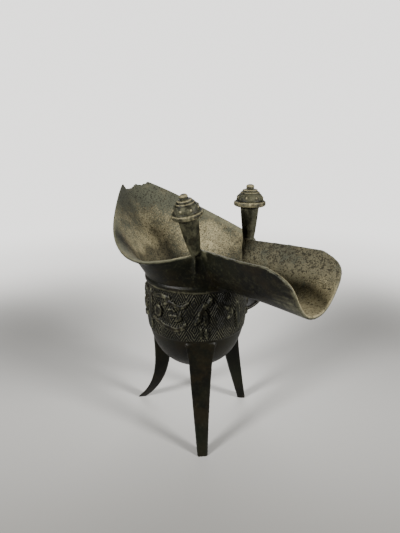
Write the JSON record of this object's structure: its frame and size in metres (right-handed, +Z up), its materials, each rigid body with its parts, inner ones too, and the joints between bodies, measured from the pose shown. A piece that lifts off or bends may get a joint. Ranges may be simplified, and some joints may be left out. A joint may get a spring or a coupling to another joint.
{
  "type": "bronze jue vessel",
  "caption": "Archaic bronze wine vessel on splayed legs, with an open spout, a swept tail, capped posts on the rim and a strap handle.",
  "frame": {"origin": "middle of the overall box, at the height of the feet", "axes": "+X along the spout, +Y toward the handle, +Z up"},
  "size_m": [0.1686, 0.1089, 0.1694],
  "materials": {
    "bronze": "dark grey-green patina, earthy inside, softly worn edges"
  },
  "bodies": {
    "root": {"jue_vessel": "bronze"}
  },
  "joints": []
}
